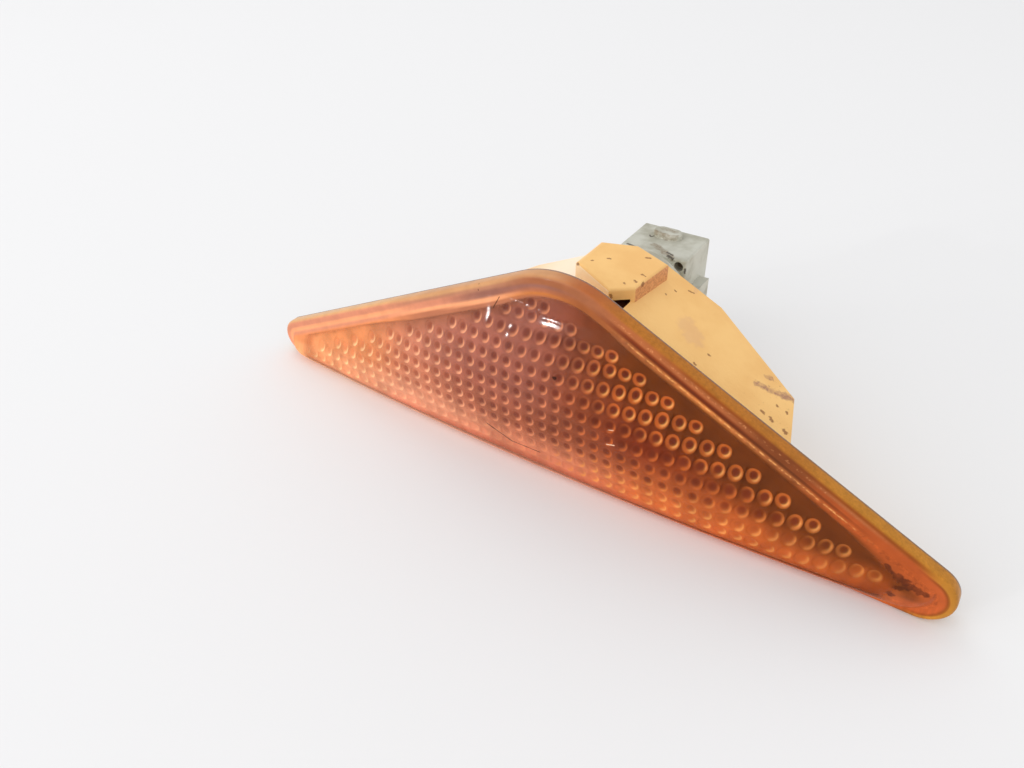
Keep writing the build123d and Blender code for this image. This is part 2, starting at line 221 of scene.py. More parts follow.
# Bands of the rim from its edge inwards, at places along the lens
BANDS = [
    (-38.0, [(0.0, SAND_TIP), (0.6, ROSE), (1.2, ROSE), (1.7, PEACH), (2.05, PEACH), (2.5, ROSE), (3.2, SALMON)]),
    (-25.0, [(0.0, SAND), (0.4, SAND), (0.9, TAN), (1.4, ROSE), (2.1, ROSE), (2.45, PEACH), (2.65, PEACH),
             (3.0, CLAY)]),
    (-13.0, [(0.0, SAND), (0.4, SAND), (0.9, TAN), (1.6, MAUVE), (2.2, MAUVE), (2.7, PEACH), (2.95, PEACH),
             (3.3, CLAY)]),
    (-3.0, [(0.0, SAND), (0.6, UMBER), (1.2, UMBER), (1.7, MAUVE), (2.4, CLAY), (3.0, WELD), (3.6, CLAY)]),
    (5.0, [(0.0, RIM_AMBER), (0.6, UMBER), (1.5, UMBER), (2.4, WELD_DIM), (3.0, WELD_DIM), (3.8, BROWN)]),
    (13.0, [(0.0, OLIVE), (0.5, RIM_AMBER), (1.2, RIM_AMBER), (1.6, GROOVE), (2.0, GROOVE), (2.4, WELD_DIM),
            (2.8, WELD_DIM), (3.3, SHADED_WINDOW)]),
    (25.0, [(0.0, OLIVE), (0.4, DARK_EDGE), (0.8, WELD_DIM), (1.3, RIM_AMBER), (1.8, GROOVE), (2.2, GROOVE),
            (2.45, WELD), (2.7, WELD), (2.95, SHADED_WINDOW)]),
    (37.0, [(0.0, OLIVE), (0.4, BROWN), (2.1, BROWN), (2.4, WELD_DIM), (2.7, WELD_DIM), (3.0, SHADED_WINDOW)]),
    (47.0, [(0.0, OLIVE_TIP), (0.4, DARK_EDGE), (0.9, RIM_AMBER), (1.4, EMBER), (2.8, EMBER), (3.4, SHADED_WINDOW)]),
    (56.0, [(0.0, OLIVE_TIP), (0.4, DARK_EDGE), (1.0, EMBER), (3.4, EMBER), (4.4, SHADED_WINDOW)]),
    (61.0, [(0.0, OLIVE_TIP), (0.8, OLIVE_TIP), (1.1, DARK_EDGE), (1.6, ORANGE), (4.0, ORANGE)]),
]
BOTTOM = [(-59.0, srgb(236, 156, 102)), (-48.0, srgb(238, 174, 134)), (-30.0, srgb(234, 166, 134)), (0.0, srgb(222, 144, 112)),
          (32.0, srgb(207, 104, 52)), (58.0, srgb(174, 84, 35))]
FLAT = [(-58.0, srgb(226, 140, 82)), (-42.0, srgb(222, 140, 88)), (-28.0, srgb(210, 131, 98)),
        (-14.0, srgb(168, 94, 68)), (4.0, srgb(143, 70, 41)), (20.0, srgb(128, 46, 18)), (40.0, srgb(140, 55, 20))]
LOW = [(-58.0, srgb(240, 160, 106)), (-30.0, srgb(238, 166, 130)), (0.0, srgb(224, 140, 104)),
       (20.0, srgb(224, 119, 59)), (40.0, srgb(206, 101, 42))]
RING = [(-50.0, srgb(255, 212, 152)), (-24.0, srgb(252, 184, 142)), (-6.0, srgb(230, 148, 106)),
        (12.0, srgb(202, 100, 41)), (40.0, srgb(204, 106, 44))]
CENTRE = [(-46.0, srgb(228, 138, 88)), (-30.0, srgb(168, 90, 64)), (-10.0, srgb(122, 55, 42)),
          (10.0, srgb(106, 38, 16)), (44.0, srgb(126, 48, 18))]


def rim_colour(x, d):
    """Colour of the rim at a place along the lens and a distance from its edge."""
    for (a, one), (b, two) in zip(BANDS, BANDS[1:]):
        if x <= b:
            return mix(along(one, d), along(two, d), step(a, b, x))
    return along(BANDS[-1][1], d)


def shell_colour(x, z, d):
    """Colour of the lens front, and how far it hides what is behind it."""
    left, right, base = edge_parts(x, z)
    upper = max(step(-0.8, 0.8, base - min(left, right)), step(54.0, 58.0, x), 1 - step(-63.0, -60.0, x))
    fade = 2.9 + 0.9 * step(44.0, 58.0, x) + 0.6 * (1 - step(-10.0, 6.0, x)) * step(-40.0, -26.0, x)
    cover = 1 - step(fade, fade + 0.6, d)
    low_cover = 1 - 0.7 * step(1.0, 2.2, d) - 0.3 * step(2.0, 5.0, d)
    cover = low_cover + (cover - low_cover) * upper
    tips = max(step(52.0, 56.0, x) * (1 - step(3.0, 6.0, base)), step(53.5, 56.0, x), 1 - step(-61.0, -54.0, x))
    return (*mix(along(BOTTOM, x), rim_colour(x, d), upper), max(cover, tips))


def flat_colour(x, z):
    """Colour of the smooth part of the inner face."""
    left, right, base = edge_parts(x, z)
    reach = 11.0 + 4.0 * step(0.0, 25.0, x)
    colour = mix(along(FLAT, x), along(LOW, x), 1 - step(3.0, reach, base))
    # Painted reflection: a mauve sheen of the pale room laid over the upper left of the inner face
    sky_reflection_share = step(-36.0, -20.0, x) * (1 - step(-6.0, 8.0, x)) * step(9.0, 18.0, base)
    colour = mix(colour, SKY_REFLECTION, 0.45 * sky_reflection_share)
    colour = mix(colour, CLAY, 0.7 * step(-44.0, -30.0, x) * (1 - step(-4.0, 4.0, x)) * (1 - step(4.0, 6.5, left)))
    # Painted shade: towards the upper right the inner face turns to the dark window colour, where the housing
    # shades it
    dark = step(-2.0, 14.0, x) * (1 - step(8.5, 14.0, right)) * step(2.0, 6.5, base)
    return mix(colour, SHADED_WINDOW, dark)


def bump_colour(x, z, ratio, facing):
    """Colour of a bump: a pale ring round a dark middle, or only a pale crescent; the crescent and the palest
    spots are painted light on the side turned to the light.
    """
    left, right, base = edge_parts(x, z)
    flat = flat_colour(x, z)
    low = 1 - step(4.0, 10.0, base)
    high = step(9.0, 17.0, z)
    reach = 8.6 + 3.4 * high
    whole = step(-2.0, 12.0, x) * (1 - step(reach, reach + 1.8 + 2.2 * high, right)) * (1 - 0.45 * low)
    clear = max(whole, 0.85 + 0.15 * (1 - step(-34.0, -18.0, x)), low)
    # Painted light: the crescent lies on the side of the bump turned to the light
    crescent = step(0.1, 0.85, facing)
    centre = mix(along(CENTRE, x), flat, max(0.95 * low, 0.1 * (1 - whole)))
    pale = mix(along(RING, x), RING_HIGHLIGHT, 0.75 * low * step(-2.0, 12.0, x) * (1 - 0.65 * step(30.0, 48.0, x)))
    ring = mix(flat, pale, clear * (crescent + (0.9 - crescent) * whole))
    # Painted highlight on the inner lower edge of the rings, on the lit side
    ring = mix(ring, RING_HIGHLIGHT, 0.8 * whole * step(0.3, 1.0, facing) * (1 - step(0.72, 0.9, ratio)))
    inner = mix(centre, ring, step(0.35 + 0.11 * whole, 0.85 - 0.25 * whole, ratio))
    return mix(inner, flat, step(0.95, 1.02, ratio))


def set_colours(mesh, name, colours):
    layer = mesh.color_attributes.new(name, "FLOAT_COLOR", "POINT")
    layer.data.foreach_set("color", [c for colour in colours for c in colour])


NEAR = [0, 0.1, 0.2, 0.3, 0.42, 0.56, 0.7, 0.85, 1.0, 1.2, 1.4, 1.6, 1.75, 1.9, 2.05, 2.2, 2.4, 2.6, 2.8, 3.0,
        3.3, 3.6, 4.0, 4.5, 5.2, 6.0, 7.0, 8.0]
FAR_STEPS = 14
SPINE_LEFT, SPINE_RIGHT, SPINE_Z = -43.0, 40.0, BASE_Z + 9.6
BACK_EDGE = 0.45


def lens_shell():
    """Outside of the lens, from its rebate round the rim and over the dome."""
    loop = rim_line.points(0.7)
    rows = [[] for _ in range(4 + len(NEAR) + FAR_STEPS)]
    for x, z in loop:
        aim = (min(max(x, SPINE_LEFT), SPINE_RIGHT), SPINE_Z)
        length = math.dist((x, z), aim)
        ux, uz = (aim[0] - x) / length, (aim[1] - z) / length
        slant = max(rim_line.distance(x + 0.5 * ux, z + 0.5 * uz) / 0.5, 0.2)
        near = min(NEAR[-1] / slant, 0.82 * length)
        short, far = 0.0, length
        for _ in range(30):
            seat = (short + far) / 2
            if seat_line.distance(x + ux * seat, z + uz * seat) < 0:
                short = seat
            else:
                far = seat
        rows[0].append((x + ux * seat, -REBATE, z + uz * seat))
        rows[1].append((x + ux * seat, 0.0, z + uz * seat))
        rows[2].append((x, 0.0, z))
        rows[3].append((x, -BACK_EDGE, z))
        runs = [near * d / NEAR[-1] for d in NEAR]
        runs += [near + (length - near) * (i + 1) / FAR_STEPS for i in range(FAR_STEPS)]
        for row, run in zip(rows[4:], runs):
            px, pz = x + ux * run, z + uz * run
            row.append((px, -front_height(px, pz), pz))
    count = len(loop)
    verts = [p for row in rows for p in row]
    faces = []
    for r in range(len(rows) - 1):
        for i in range(count):
            j = (i + 1) % count
            faces.append((r * count + i, r * count + j, (r + 1) * count + j, (r + 1) * count + i))
    mesh = bpy.data.meshes.new("lens_shell")
    mesh.from_pydata([Vector(v) * MM for v in verts], [], faces)
    colours = []
    for number, (x, y, z) in enumerate(verts):
        colour = shell_colour(x, z, max(rim_line.distance(x, z), 0.0))
        if number < 3 * count:
            colour = (*mix(colour[:3], BACK_LINE, 0.85), 1.0)
        colours.append(colour)
    set_colours(mesh, "band", colours)
    inset = mesh.attributes.new("inset", "FLOAT", "POINT")
    inset.data.foreach_set("value", [max(rim_line.distance(x, z), 0.0) for x, y, z in verts])
    work = bmesh.new()
    work.from_mesh(mesh)
    bmesh.ops.remove_doubles(work, verts=work.verts, dist=1e-6)
    work.to_mesh(mesh)
    work.free()
    mesh.polygons.foreach_set("use_smooth", [True] * len(mesh.polygons))
    return mesh


RINGS = [0.3, 0.5, 0.6, 0.7, 0.8, 0.88, 0.94, 0.98, 1.02]
SPOKES = 16
# Direction within a bump towards which it is painted as lit
LIT_TURN = math.radians(-34.0)
APPARENT = 0.6          # depth of the bumps as it looks through the lens


def bump_profile(ratio):
    return BUMP_HEIGHT * math.sqrt(1 - ratio * ratio) if ratio < 1 else 0.0


def lens_inside():
    """Inner face of the lens with its rows of round bumps, cut to an outline inside the rim."""
    verts, colours, faces = [], [], []
    for row in range(-1, 14):
        for column in range(-28, 29):
            x0 = BUMP_SHIFT + column * PITCH
            z0 = BASE_Z + BUMP_BASE + row * PITCH
            left, right, base = edge_parts(x0, z0)
            if inner_line.distance(x0, z0) < -PITCH:
                continue
            bump = left >= BUMP_LEFT and right >= BUMP_RIGHT and row >= 0
            start = len(verts)
            middle = inner_height(x0, z0)
            slope = (inner_height(x0, z0 + 1) - inner_height(x0, z0 - 1)) / 2
            steep = step(5.0, 11.0, base) * (1 - step(12.0, 17.0, right))
            slope = min(slope, -0.35)
            widen = 1 + 0.1 * steep
            tile = [(0.0, 0.0, 0.0, 0.0)]
            for ratio in RINGS:
                for k in range(SPOKES):
                    turn = 2 * math.pi * k / SPOKES
                    reach = ratio * BUMP_RADIUS
                    tile.append((widen * reach * math.cos(turn), reach * math.sin(turn), ratio, turn))
            for k in range(SPOKES):
                turn = 2 * math.pi * k / SPOKES
                reach = PITCH / 2 / max(abs(math.cos(turn)), abs(math.sin(turn)))
                tile.append((reach * math.cos(turn), reach * math.sin(turn), 2.0, turn))
            for dx, dz, ratio, turn in tile:
                x, z = x0 + dx, z0 + dz
                height = inner_height(x, z)
                if bump and ratio < 2:
                    height += (max(middle + slope * dz, 0.78) - height) * steep
                    height = min(height, front_height(x, z) - 0.5)
                lift = min(APPARENT * bump_profile(ratio), height - 0.75) if bump else 0.0
                verts.append((x, lift - height, z))
                if bump:
                    colours.append((*bump_colour(x, z, ratio, math.cos(turn - LIT_TURN)), 1.0))
                else:
                    colours.append((*flat_colour(x, z), 1.0))
            for k in range(SPOKES):
                n = (k + 1) % SPOKES
                faces.append((start, start + 1 + k, start + 1 + n))
                for ring in range(len(RINGS)):
                    a = start + 1 + ring * SPOKES
                    faces.append((a + k, a + SPOKES + k, a + SPOKES + n, a + n))
    mesh = bpy.data.meshes.new("lens_inside")
    mesh.from_pydata([Vector(v) * MM for v in verts], [], faces)
    set_colours(mesh, "tint", colours)
    work = bmesh.new()
    work.from_mesh(mesh)
    bmesh.ops.remove_doubles(work, verts=work.verts, dist=2e-6)
    loop = inner_line.points(6.0)
    for i, (x, z) in enumerate(loop):
        nx, nz = loop[(i + 1) % len(loop)]
        out = Vector((nz - z, 0.0, x - nx)).normalized()
        bmesh.ops.bisect_plane(
            work, geom=work.verts[:] + work.edges[:] + work.faces[:], plane_co=Vector((x, 0.0, z)) * MM,
            plane_no=out, clear_outer=True,
        )
    work.to_mesh(mesh)
    work.free()
    mesh.polygons.foreach_set("use_smooth", [True] * len(mesh.polygons))
    return mesh


class Tree:
    """Short way to write a material's nodes."""

    def __init__(self, name):
        self.material = bpy.data.materials.new(name)
        self.material.use_nodes = True
        self.nodes = self.material.node_tree.nodes
        self.links = self.material.node_tree.links
        self.bsdf = self.nodes["Principled BSDF"]
        self.output = self.nodes["Material Output"]
        self.coords = None

    def add(self, kind, settings=None, **inputs):
        node = self.nodes.new(kind)
        for key, value in (settings or {}).items():
            setattr(node, key, value)
        for key, value in inputs.items():
            self.put(node, key, value)
        return node

    def put(self, node, key, value):
        socket = node.inputs[int(key[1:])] if key[1:].isdigit() else node.inputs[key.replace("_", " ")]
        if isinstance(value, bpy.types.NodeSocket):
            self.links.new(value, socket)
        elif isinstance(value, tuple) and len(value) == 3 and socket.type == "RGBA":
            socket.default_value = (*value, 1.0)
        else:
            socket.default_value = value

    def place(self):
        """Position on the part, in millimetres."""
        if self.coords is None:
            where = self.add("ShaderNodeTexCoord")
            self.coords = self.vector("SCALE", where.outputs["Object"])
            self.coords.node.inputs["Scale"].default_value = 1 / MM
        return self.coords

    def vector(self, operation, a, b=(0.0, 0.0, 0.0)):
        node = self.add("ShaderNodeVectorMath", {"operation": operation}, i0=a, i1=b)
        return node.outputs["Value" if operation in ("LENGTH", "DOT_PRODUCT") else "Vector"]

    def scaled(self, vector, factor):
        node = self.add("ShaderNodeVectorMath", {"operation": "SCALE"}, i0=vector, Scale=factor)
        return node.outputs["Vector"]

    def math(self, operation, a, b=0.0, c=0.0, clamp=False):
        node = self.add("ShaderNodeMath", {"operation": operation, "use_clamp": clamp}, i0=a, i1=b, i2=c)
        return node.outputs[0]

    def noise(self, scale, detail=3.0, roughness=0.55, where=None):
        node = self.add("ShaderNodeTexNoise", None, Vector=where or self.place(), Scale=scale, Detail=detail,
                        Roughness=roughness)
        return node.outputs["Fac"]

    def ramp(self, value, low, high, start=0.0, end=1.0):
        node = self.add("ShaderNodeMapRange", {"interpolation_type": "SMOOTHSTEP"}, i0=value, i1=low, i2=high,
                        i3=start, i4=end)
        return node.outputs[0]

    def blend(self, factor, a, b):
        node = self.add("ShaderNodeMix", {"data_type": "RGBA"}, i0=factor, i6=a, i7=b)
        return node.outputs[2]

    def streak(self, start, end, width, ragged=0.5, scale=0.8):
        """Mask that is 1 along a ragged stroke between two places on the part and 0 away from it."""
        run = Vector(end) - Vector(start)
        shift = self.vector("SUBTRACT", self.place(), start)
        share = 0.0
        if run.length > 0:
            dot = self.vector("DOT_PRODUCT", shift, tuple(run))
            share = self.math("MULTIPLY", dot, 1 / run.length_squared, clamp=True)
        nearest = self.scaled(tuple(run), share)
        far = self.vector("LENGTH", self.vector("SUBTRACT", shift, nearest))
        edge = self.math("MULTIPLY_ADD", self.noise(scale), 2 * ragged * width, -ragged * width)
        return self.ramp(self.math("ADD", far, edge), width, width * 0.45)

    def marks(self, colour, strokes, tone, strength=1.0, scale=0.8, ragged=0.5, broken=0.0):
        """Colour with strokes of one tone laid over it; each stroke is start, end and width."""
        mask = 0.0
        for start, end, width in strokes:
            mask = self.math("MAXIMUM", self.streak(start, end, width, ragged, scale), mask)
        if broken:
            mask = self.math("MULTIPLY", mask, self.ramp(self.noise(0.9, 6.0, 0.8), 0.36, 0.66, 1 - broken))
        return self.blend(self.math("MULTIPLY", mask, strength), colour, tone)

    def specks(self, scale, size, share):
        """Mask of small separate dots; share is the part of the cells that have one."""
        cells = self.add("ShaderNodeTexVoronoi", None, Vector=self.place(), Scale=scale)
        chosen = self.add("ShaderNodeSeparateColor", None, i0=cells.outputs["Color"])
        dots = self.ramp(cells.outputs["Distance"], size, size * 0.55)
        return self.math("MULTIPLY", dots, self.math("LESS_THAN", chosen.outputs[0], share))

    def axis(self, index):
        """One coordinate of the place on the part, in millimetres."""
        return self.add("ShaderNodeSeparateXYZ", None, i0=self.place()).outputs[index]

    def bump(self, height, strength, distance):
        node = self.add("ShaderNodeBump", None, Strength=strength, Distance=distance, Height=height)
        self.put(self.bsdf, "Normal", node.outputs[0])


LOW_SHINE = 0.05
WAVES = 0.00002         # unevenness of the polished front, in metres


def lens_shell_material():
    t = Tree("amber_shell")
    band = t.add("ShaderNodeAttribute", {"attribute_name": "band"})
    tone = t.scaled(band.outputs["Color"], t.ramp(t.noise(0.4, 4.0), 0.3, 0.7, 0.93, 1.06))
    stretched = t.vector("MULTIPLY", t.place(), (1.6, 0.2, 0.25))
    low = t.ramp(t.axis(2), 6.0, 1.0)
    tone = t.scaled(tone, t.math("MULTIPLY_ADD", t.math("SUBTRACT", t.noise(1.0, 3.0, 0.6, stretched), 0.5),
                                 t.math("MULTIPLY", low, 0.7), 1.0))
    inset = t.add("ShaderNodeAttribute", {"attribute_name": "inset"}).outputs["Fac"]
    line = t.math("MULTIPLY", t.ramp(inset, 0.6, 0.85), t.ramp(inset, 1.25, 0.95))
    wall = t.math("MULTIPLY", t.ramp(inset, 0.35, 0.1), t.ramp(t.axis(0), 4.0, 14.0))
    speckle = t.math("MULTIPLY", t.math("SUBTRACT", t.noise(1.8, 6.0, 0.8), 0.5), 1.1)
    tone = t.scaled(tone, t.math("MULTIPLY_ADD", wall, speckle, 1.0))
    # Painted glints: pale specks along a thin line near the rim's edge, where light catches it
    painted_glints = t.math("MULTIPLY", t.math("MULTIPLY", line, t.ramp(t.noise(1.7, 4.0, 0.7), 0.52, 0.66)),
                     t.math("MULTIPLY", t.ramp(t.axis(0), 6.0, 14.0), t.ramp(t.axis(0), 60.0, 30.0)))
    tone = t.blend(t.math("MULTIPLY", painted_glints, 0.7), tone, srgb(226, 150, 96))
    weld = t.math("MULTIPLY", t.ramp(inset, 2.2, 2.4), t.ramp(inset, 3.0, 2.8))
    # Painted glints: the weld band is made lighter and darker in specks
    weld_glints = t.math("MULTIPLY", t.math("SUBTRACT", t.noise(1.4, 5.0, 0.7), 0.5), t.math("MULTIPLY", weld, 1.6))
    tone = t.scaled(tone, t.math("MULTIPLY_ADD", weld_glints, t.ramp(t.axis(0), 6.0, 14.0), 1.0))
    # Painted highlight: a thin pale core line along the weld band
    core = t.math("MULTIPLY", t.ramp(inset, 2.38, 2.46), t.ramp(inset, 2.66, 2.58))
    run = t.math("MULTIPLY", t.ramp(t.axis(0), 8.0, 16.0), t.ramp(t.axis(0), 52.0, 44.0))
    weld_highlight = t.math("MULTIPLY", t.math("MULTIPLY", core, run), t.ramp(t.noise(1.1, 5.0, 0.75), 0.42, 0.6))
    tone = t.blend(t.math("MULTIPLY", weld_highlight, 0.75), tone, srgb(240, 170, 98))
    groove = t.math("MULTIPLY", t.ramp(inset, 1.75, 1.95), t.ramp(inset, 2.3, 2.15))
    tone = t.scaled(tone, t.math("MULTIPLY_ADD", t.math("MULTIPLY", groove, run), -0.35, 1.0))
    scratches = [((-10.4, -7.2, 6.8), (-5.5, -6.9, 4.9), 0.16), ((-5.5, -6.9, 4.9), (0.0, -6.85, 5.0), 0.1),
                 ((2.1, -6.1, 20.6), (2.3, -6.1, 20.6), 0.4), ((-10.9, -3.3, 27.4), (-10.2, -2.5, 29.2), 0.1),
                 ((-14.4, -2.0, 30.1), (-14.4, -2.3, 29.0), 0.1)]
    tone = t.marks(tone, scratches, srgb(50, 18, 8), 1.0, 1.5, 0.7)
    grime = [((53.1, -3.1, 7.5), (54.9, -3.2, 6.3), 0.4), ((54.9, -3.2, 6.3), (56.9, -3.2, 5.5), 0.75),
             ((56.9, -3.2, 5.5), (59.0, -2.9, 4.9), 0.55), ((55.2, -3.6, 4.8), (56.6, -3.5, 5.1), 0.5),
             ((54.6, -3.4, 3.2), (55.0, -3.4, 3.0), 0.6)]
    tone = t.marks(tone, grime, srgb(74, 30, 12), 0.9, 1.4, 1.2, 0.35)
    # Pale nicks: scratches painted as bright as the glint they catch, so partly painted highlight
    glinting_nicks = [((12.2, -7.1, 12.7), (13.4, -7.0, 13.0), 0.14), ((12.2, -6.9, 15.4), (13.0, -6.8, 15.6), 0.08)]
    tone = t.marks(tone, glinting_nicks, srgb(250, 214, 180))
    t.put(t.bsdf, "Base_Color", tone)
    t.put(t.bsdf, "Roughness", 0.3)
    t.put(t.bsdf, "Specular_IOR_Level", LOW_SHINE)
    cover = t.ramp(band.outputs["Alpha"], 0.0, 1.0, 0.06, 1.0)
    for strokes in (scratches, grime, glinting_nicks):
        for start, end, width in strokes:
            cover = t.math("MAXIMUM", cover, t.math("MULTIPLY", t.streak(start, end, width, 0.7, 1.5), 0.9))
    t.put(t.bsdf, "Alpha", cover)
    # Painted glow: the lens gives off light of its own colour, most at its low band, standing in for light let
    # through the amber plastic
    t.put(t.bsdf, "Emission_Color", tone)
    t.put(t.bsdf, "Emission_Strength", t.math("MULTIPLY", t.ramp(t.axis(2), 5.0, 0.0), 0.2))
    wavy = t.add("ShaderNodeBump", None, Strength=1.0, Distance=WAVES, Height=t.noise(0.25, 2.0))
    gloss = t.add("ShaderNodeBsdfGlossy", None, Roughness=0.06, Normal=wavy.outputs[0])
    rim = t.add("ShaderNodeFresnel", None, IOR=1.4)
    both = t.add("ShaderNodeMixShader", None, i0=t.math("MULTIPLY", rim.outputs[0], 0.3), i1=t.bsdf.outputs[0],
                 i2=gloss.outputs[0])
    t.links.new(both.outputs[0], t.output.inputs["Surface"])
    return t.material


def lens_inside_material():
    t = Tree("amber_inside")
    tint = t.add("ShaderNodeAttribute", {"attribute_name": "tint"})
    tone = t.scaled(tint.outputs["Color"], t.ramp(t.noise(0.3, 4.0), 0.3, 0.7, 0.84, 1.14))
    t.put(t.bsdf, "Base_Color", tone)
    t.put(t.bsdf, "Roughness", 0.45)
    t.put(t.bsdf, "Specular_IOR_Level", LOW_SHINE)
    return t.material


def case_material():
    t = Tree("apricot_case")
    tone = t.blend(t.ramp(t.noise(0.12, 4.0), 0.35, 0.7), srgb(244, 196, 124), srgb(236, 184, 112))
    # Painted light: the upper left end of the case is turned near white, a lit side
    pale = t.math("MULTIPLY", t.ramp(t.axis(0), -1.5, -4.0), t.ramp(t.axis(2), 18.0, 26.0))
    tone = t.blend(t.math("MULTIPLY", pale, 0.8), tone, srgb(252, 232, 210))
    facing = t.add("ShaderNodeNewGeometry")
    normal = t.add("ShaderNodeSeparateXYZ", None, i0=facing.outputs["Normal"])
    steep = t.math("MULTIPLY", t.ramp(normal.outputs[2], 0.6, 0.3), t.ramp(t.axis(2), 27.0, 28.5))
    # Steep faces turned to +X are painted rough brown: dirt on the latch's right side, and painted shade on the
    # side turned from the light
    side = t.math("MULTIPLY", steep, t.ramp(normal.outputs[0], 0.8, 0.95))
    rough = t.ramp(t.noise(3.0, 4.0, 0.7), 0.3, 0.75)
    tone = t.blend(t.math("MULTIPLY", side, 0.9), tone, t.blend(rough, srgb(232, 164, 106), srgb(176, 106, 66)))
    # Painted light: steep faces turned to -X are made pale, a lit side
    front = t.math("MULTIPLY", steep, t.ramp(normal.outputs[0], 0.0, -0.3))
    tone = t.blend(front, tone, srgb(252, 226, 186))
    # Painted shade: the floor of the latch slot is made dark brown
    below = t.vector("DOT_PRODUCT", t.place(), (-SIN, 0.0, -COS))
    depth = t.ramp(t.math("ADD", below, PEAK_Z * COS), 4.3, 4.9)
    reach = t.math("MULTIPLY", t.ramp(t.axis(0), 8.0, 7.6), t.ramp(t.axis(0), 4.0, 4.6))
    near = t.math("MULTIPLY", t.ramp(t.axis(1), 8.7, 8.3), t.ramp(t.axis(2), 26.0, 27.0))
    slot_shade = t.math("MULTIPLY", depth, t.math("MULTIPLY", reach, near))
    tone = t.blend(slot_shade, tone, srgb(84, 42, 26))
    smudge = [((15.5, 11.5, 25.2), (17.5, 10.0, 24.2), 2.2), ((12.6, 22.0, 26.6), (13.2, 19.5, 26.3), 0.5)]
    tone = t.marks(tone, smudge, srgb(214, 164, 128), 0.32, 0.6, 0.8)
    purple = [((28.4, 13.6, 18.9), (29.2, 14.2, 18.6), 0.55), ((28.2, 10.8, 19.1), (30.7, 12.1, 17.8), 0.8),
              ((30.7, 12.1, 17.8), (33.3, 13.5, 16.6), 0.9)]
    tone = t.marks(tone, purple, srgb(146, 98, 88), 0.85, 1.2, 1.2, 0.7)
    dots = [((31.8, 9.7, 17.3), (31.9, 9.7, 17.3), 0.3), ((33.4, 9.9, 16.5), (33.5, 9.8, 16.5), 0.32),
            ((30.5, 6.4, 17.9), (30.9, 6.3, 17.7), 0.35), ((32.0, 6.5, 17.2), (32.4, 6.1, 17.0), 0.4),
            ((34.3, 6.2, 16.1), (34.7, 6.0, 15.9), 0.42), ((20.4, 9.0, 22.8), (20.6, 9.0, 22.7), 0.26),
            ((19.5, 5.4, 23.2), (19.9, 5.2, 23.1), 0.3), ((12.4, 18.6, 26.7), (13.2, 19.0, 26.4), 0.24),
            ((10.9, 16.4, 27.4), (11.1, 16.4, 27.3), 0.22), ((10.3, 14.2, 27.7), (10.4, 14.1, 27.7), 0.2),
            ((-2.1, 7.6, 32.6), (-1.9, 7.5, 32.6), 0.3), ((-0.7, 9.6, 32.7), (-0.6, 9.7, 32.7), 0.22),
            ((0.9, 11.9, 32.4), (1.3, 12.1, 32.4), 0.22), ((5.4, 16.5, 31.7), (6.0, 16.8, 31.7), 0.26),
            ((7.1, 11.7, 31.5), (7.7, 11.6, 31.4), 0.26), ((6.1, 7.7, 31.7), (6.3, 7.6, 31.7), 0.24),
            ((7.1, 9.4, 31.5), (7.4, 9.2, 31.5), 0.3), ((8.2, 10.0, 31.1), (8.3, 9.6, 31.0), 0.4),
            ((5.4, 4.7, 30.8), (5.5, 4.8, 30.4), 0.3)]
    tone = t.marks(tone, dots, srgb(134, 82, 42), 0.8, 2.6, 1.1)
    crumbs = t.math("MULTIPLY", t.ramp(t.noise(2.4, 6.0, 0.75), 0.6, 0.7), t.ramp(t.axis(0), 24.0, 33.0))
    tone = t.blend(t.math("MULTIPLY", crumbs, 0.6), tone, srgb(120, 76, 44))
    t.put(t.bsdf, "Base_Color", tone)
    t.put(t.bsdf, "Roughness", 0.5)
    t.put(t.bsdf, "Specular_IOR_Level", 0.3)
    t.bump(t.noise(2.0, 4.0), 0.12, 0.0002)
    return t.material


def holder_material():
    t = Tree("grey_holder")
    tone = t.blend(t.ramp(t.noise(0.25, 4.0), 0.35, 0.7), srgb(206, 205, 192), srgb(176, 173, 156))
    facing = t.add("ShaderNodeNewGeometry")
    normal = t.add("ShaderNodeSeparateXYZ", None, i0=facing.outputs["Normal"])
    # Painted shade: faces turned up are made up to 16 % darker
    tone = t.scaled(tone, t.ramp(normal.outputs[2], 0.5, 0.9, 1.0, 0.84))
    brown = [((-3.0, 38.1, 25.2), (-0.3, 37.6, 24.6), 0.7), ((-1.7, 37.6, 24.9), (1.4, 37.9, 24.9), 0.7),
             ((-1.5, 34.8, 24.2), (3.4, 32.1, 24.2), 0.9), ((-2.0, 39.5, 25.5), (0.5, 39.3, 25.5), 0.8)]
    tone = t.marks(tone, brown, srgb(124, 104, 78), 0.75, 1.2, 1.0, 0.7)
    black = [((-3.9, 37.9, 24.2), (-3.4, 37.3, 24.2), 0.2), ((-3.4, 37.3, 24.2), (-3.0, 38.1, 24.2), 0.2),
             ((1.9, 33.2, 24.2), (3.1, 32.8, 24.2), 0.3), ((2.6, 32.2, 24.2), (3.6, 31.8, 24.1), 0.4),
             ((6.2, 31.9, 22.6), (6.2, 32.0, 21.8), 0.3), ((-5.8, 32.6, 24.2), (-4.2, 32.3, 24.2), 0.35)]
    tone = t.marks(tone, black, srgb(66, 58, 48), 0.85, 2.6, 1.0)
    # Painted shade: a round dark brown patch in the recess on the holder
    recess_shade = t.math("MULTIPLY", t.streak((4.9, 32.6, 22.8), (4.9, 33.2, 22.8), 1.2, 0.1),
                    t.ramp(t.axis(1), 31.85, 32.2))
    tone = t.blend(recess_shade, tone, srgb(92, 76, 60))
    t.put(t.bsdf, "Base_Color", tone)
    t.put(t.bsdf, "Roughness", 0.55)
    t.put(t.bsdf, "Specular_IOR_Level", 0.3)
    t.bump(t.noise(2.5, 4.0), 0.12, 0.0002)
    return t.material


